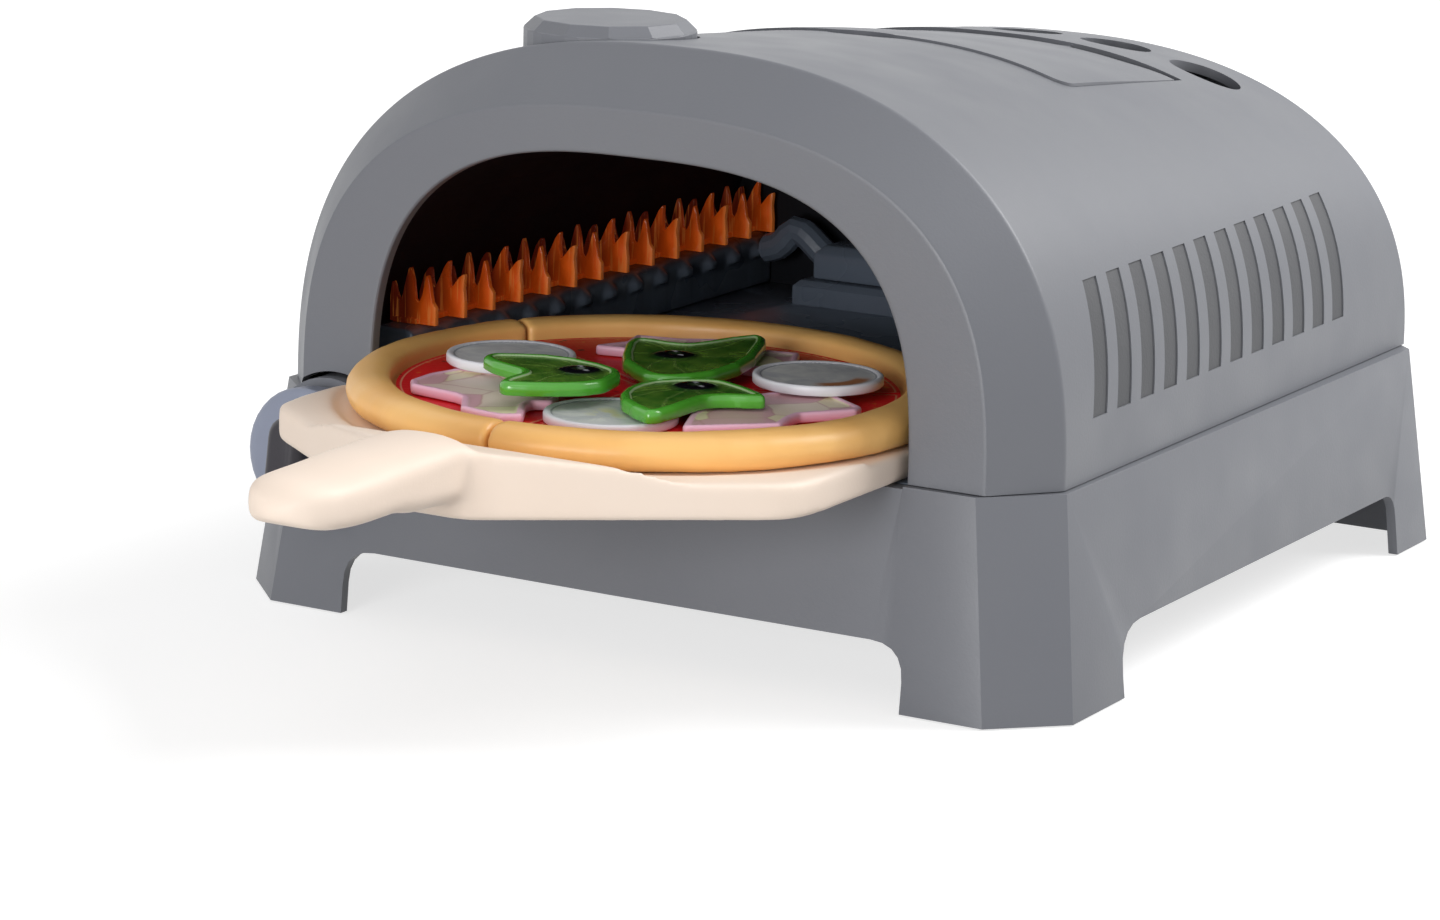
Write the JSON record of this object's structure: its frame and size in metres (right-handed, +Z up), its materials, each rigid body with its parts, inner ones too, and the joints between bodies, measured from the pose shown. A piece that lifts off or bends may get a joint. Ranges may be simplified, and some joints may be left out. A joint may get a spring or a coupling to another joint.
{
  "type": "toy pizza oven",
  "caption": "Play oven with a vaulted hood on a flared legged base, flame comb, knob, roof hatch, turning cap, and a peel carrying a sliced play pizza with loose toppings.",
  "frame": {"origin": "on the ground under the middle of the bounding box of oven and peel", "axes": "+X to the right seen from the front, +Y to the back, +Z up"},
  "size_m": [0.286, 0.4858, 0.184],
  "materials": {
    "body_grey": "satin moulded",
    "dark_grey": "satin moulded",
    "black_plastic": "matt moulded",
    "grip_black": "satin moulded",
    "flame_orange": "translucent gloss",
    "knob_silver": "silver tinted gloss",
    "cream": "satin moulded",
    "crust": "satin moulded",
    "sauce": "soft gloss",
    "ham": "soft gloss",
    "disc": "soft gloss",
    "leaf": "gloss",
    "steel": "plated"
  },
  "bodies": {
    "oven": {"base": "body_grey", "hood": "body_grey", "topping_bin": "black_plastic", "inner_vault": "black_plastic", "oven_floor": "dark_grey", "rear_housing": "dark_grey", "burner_bar": "dark_grey", "flame_comb": "flame_orange", "feed_pipe": "dark_grey", "back_cover": "body_grey", "base_screw_fl": "steel", "base_screw_fr": "steel", "base_screw_bl": "steel", "base_screw_br": "steel", "panel_screw_low_left": "steel", "panel_screw_low_right": "steel", "panel_screw_high_left": "steel", "panel_screw_high_right": "steel", "burner_screw_front": "steel", "burner_screw_back": "steel"},
    "hatch_lid": {"hatch": "body_grey", "hatch_pin_left": "steel", "hatch_pin_right": "steel"},
    "cap": {"turning_cap": "body_grey", "cap_spindle": "steel", "cap_clip": "steel"},
    "knob": {"control_knob": "knob_silver", "knob_grip": "grip_black", "knob_shaft": "steel", "knob_clip": "steel"},
    "peel_tool": {"peel": "cream"},
    "slice_left": {"crust_left": "crust", "sauce_left": "sauce"},
    "slice_right": {"crust_right": "crust", "sauce_right": "sauce"},
    "slice_back": {"crust_back": "crust", "sauce_back": "sauce"},
    "topping_ham_left": {"ham_left": "ham"},
    "topping_disc_left": {"disc_left": "disc"},
    "topping_leaf_left": {"leaf_left": "leaf"},
    "topping_ham_right": {"ham_right": "ham"},
    "topping_disc_right": {"disc_right": "disc"},
    "topping_disc_front": {"disc_front": "disc"},
    "topping_leaf_front": {"leaf_front": "leaf"},
    "topping_ham_back": {"ham_back": "ham"},
    "topping_leaf_back": {"leaf_back": "leaf"}
  },
  "joints": [
    {"name": "knob_turn", "type": "hinge", "parent": "oven", "child": "knob", "pos_m": [-0.1055, -0.055, 0.05], "axis": [0, 1, 0], "range_deg": [0, 180]},
    {"name": "cap_turn", "type": "hinge", "parent": "oven", "child": "cap", "pos_m": [-0.038, -0.0024, 0.175], "axis": [0, 0, 1], "continuous": true},
    {"name": "hatch_open", "type": "hinge", "parent": "oven", "child": "hatch_lid", "pos_m": [0, 0.1766, 0.1608], "axis": [-1, 0, 0], "range_deg": [0, 55]},
    {"name": "peel_slide", "type": "slide", "parent": "oven", "child": "peel_tool", "axis": [0, 1, 0], "range_m": [-0.1, 0.115]},
    {"name": "pizza_lift", "type": "slide", "parent": "peel_tool", "child": "slice_left", "axis": [0, 0, 1], "range_m": [0, 0.01]},
    {"name": "slice_right_part", "type": "slide", "parent": "slice_left", "child": "slice_right", "axis": [0.5, -0.866, 0], "range_m": [0, 0.004]},
    {"name": "slice_back_part", "type": "slide", "parent": "slice_left", "child": "slice_back", "axis": [0, 1, 0], "range_m": [0, 0.008]},
    {"name": "ham_left_lift", "type": "slide", "parent": "slice_left", "child": "topping_ham_left", "axis": [0, 0, 1], "range_m": [0, 0.008]},
    {"name": "disc_left_lift", "type": "slide", "parent": "topping_ham_left", "child": "topping_disc_left", "axis": [0, 0, 1], "range_m": [0, 0.008]},
    {"name": "leaf_left_lift", "type": "slide", "parent": "topping_disc_left", "child": "topping_leaf_left", "axis": [0, 0, 1], "range_m": [0, 0.008]},
    {"name": "ham_right_lift", "type": "slide", "parent": "slice_right", "child": "topping_ham_right", "axis": [0, 0, 1], "range_m": [0, 0.008]},
    {"name": "disc_right_lift", "type": "slide", "parent": "topping_ham_right", "child": "topping_disc_right", "axis": [0, 0, 1], "range_m": [0, 0.008]},
    {"name": "disc_front_lift", "type": "slide", "parent": "slice_right", "child": "topping_disc_front", "axis": [0, 0, 1], "range_m": [0, 0.003]},
    {"name": "leaf_front_lift", "type": "slide", "parent": "topping_disc_front", "child": "topping_leaf_front", "axis": [0, 0, 1], "range_m": [0, 0.008]},
    {"name": "ham_back_lift", "type": "slide", "parent": "slice_back", "child": "topping_ham_back", "axis": [0, 0, 1], "range_m": [0, 0.008]},
    {"name": "leaf_back_lift", "type": "slide", "parent": "topping_ham_back", "child": "topping_leaf_back", "axis": [0, 0, 1], "range_m": [0, 0.008]}
  ]
}
